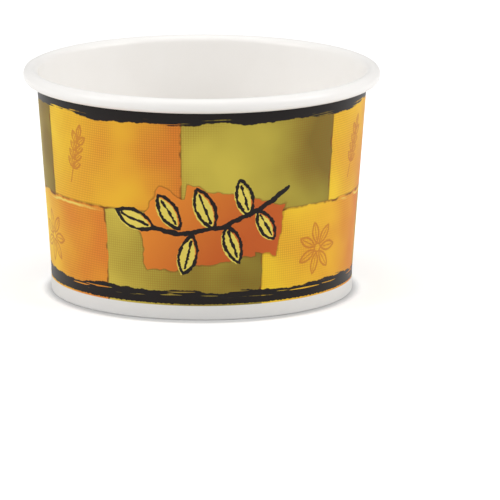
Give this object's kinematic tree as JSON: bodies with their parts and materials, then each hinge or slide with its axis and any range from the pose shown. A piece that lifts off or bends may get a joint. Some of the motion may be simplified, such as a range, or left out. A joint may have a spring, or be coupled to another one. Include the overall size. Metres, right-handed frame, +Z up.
{
  "type": "paper food container",
  "caption": "Squat round paper food container, open at the top, with a rolled rim, a lap-seamed printed sidewall and a recessed bottom disc.",
  "frame": {"origin": "middle of the foot, on the surface that the container stands on", "axes": "+Z up along the container's axis, through its mouth; the front, with the printed drawing, faces -Y; the lap seam is 10 degrees behind -X"},
  "size_m": [0.098, 0.098, 0.062],
  "materials": {
    "printed_board": "matt print outside, satin white coating inside and on the rim",
    "white_board": "satin white coating on top, bare board below"
  },
  "bodies": {
    "root": {"sidewall": "printed_board", "bottom_disc": "white_board"}
  },
  "joints": []
}
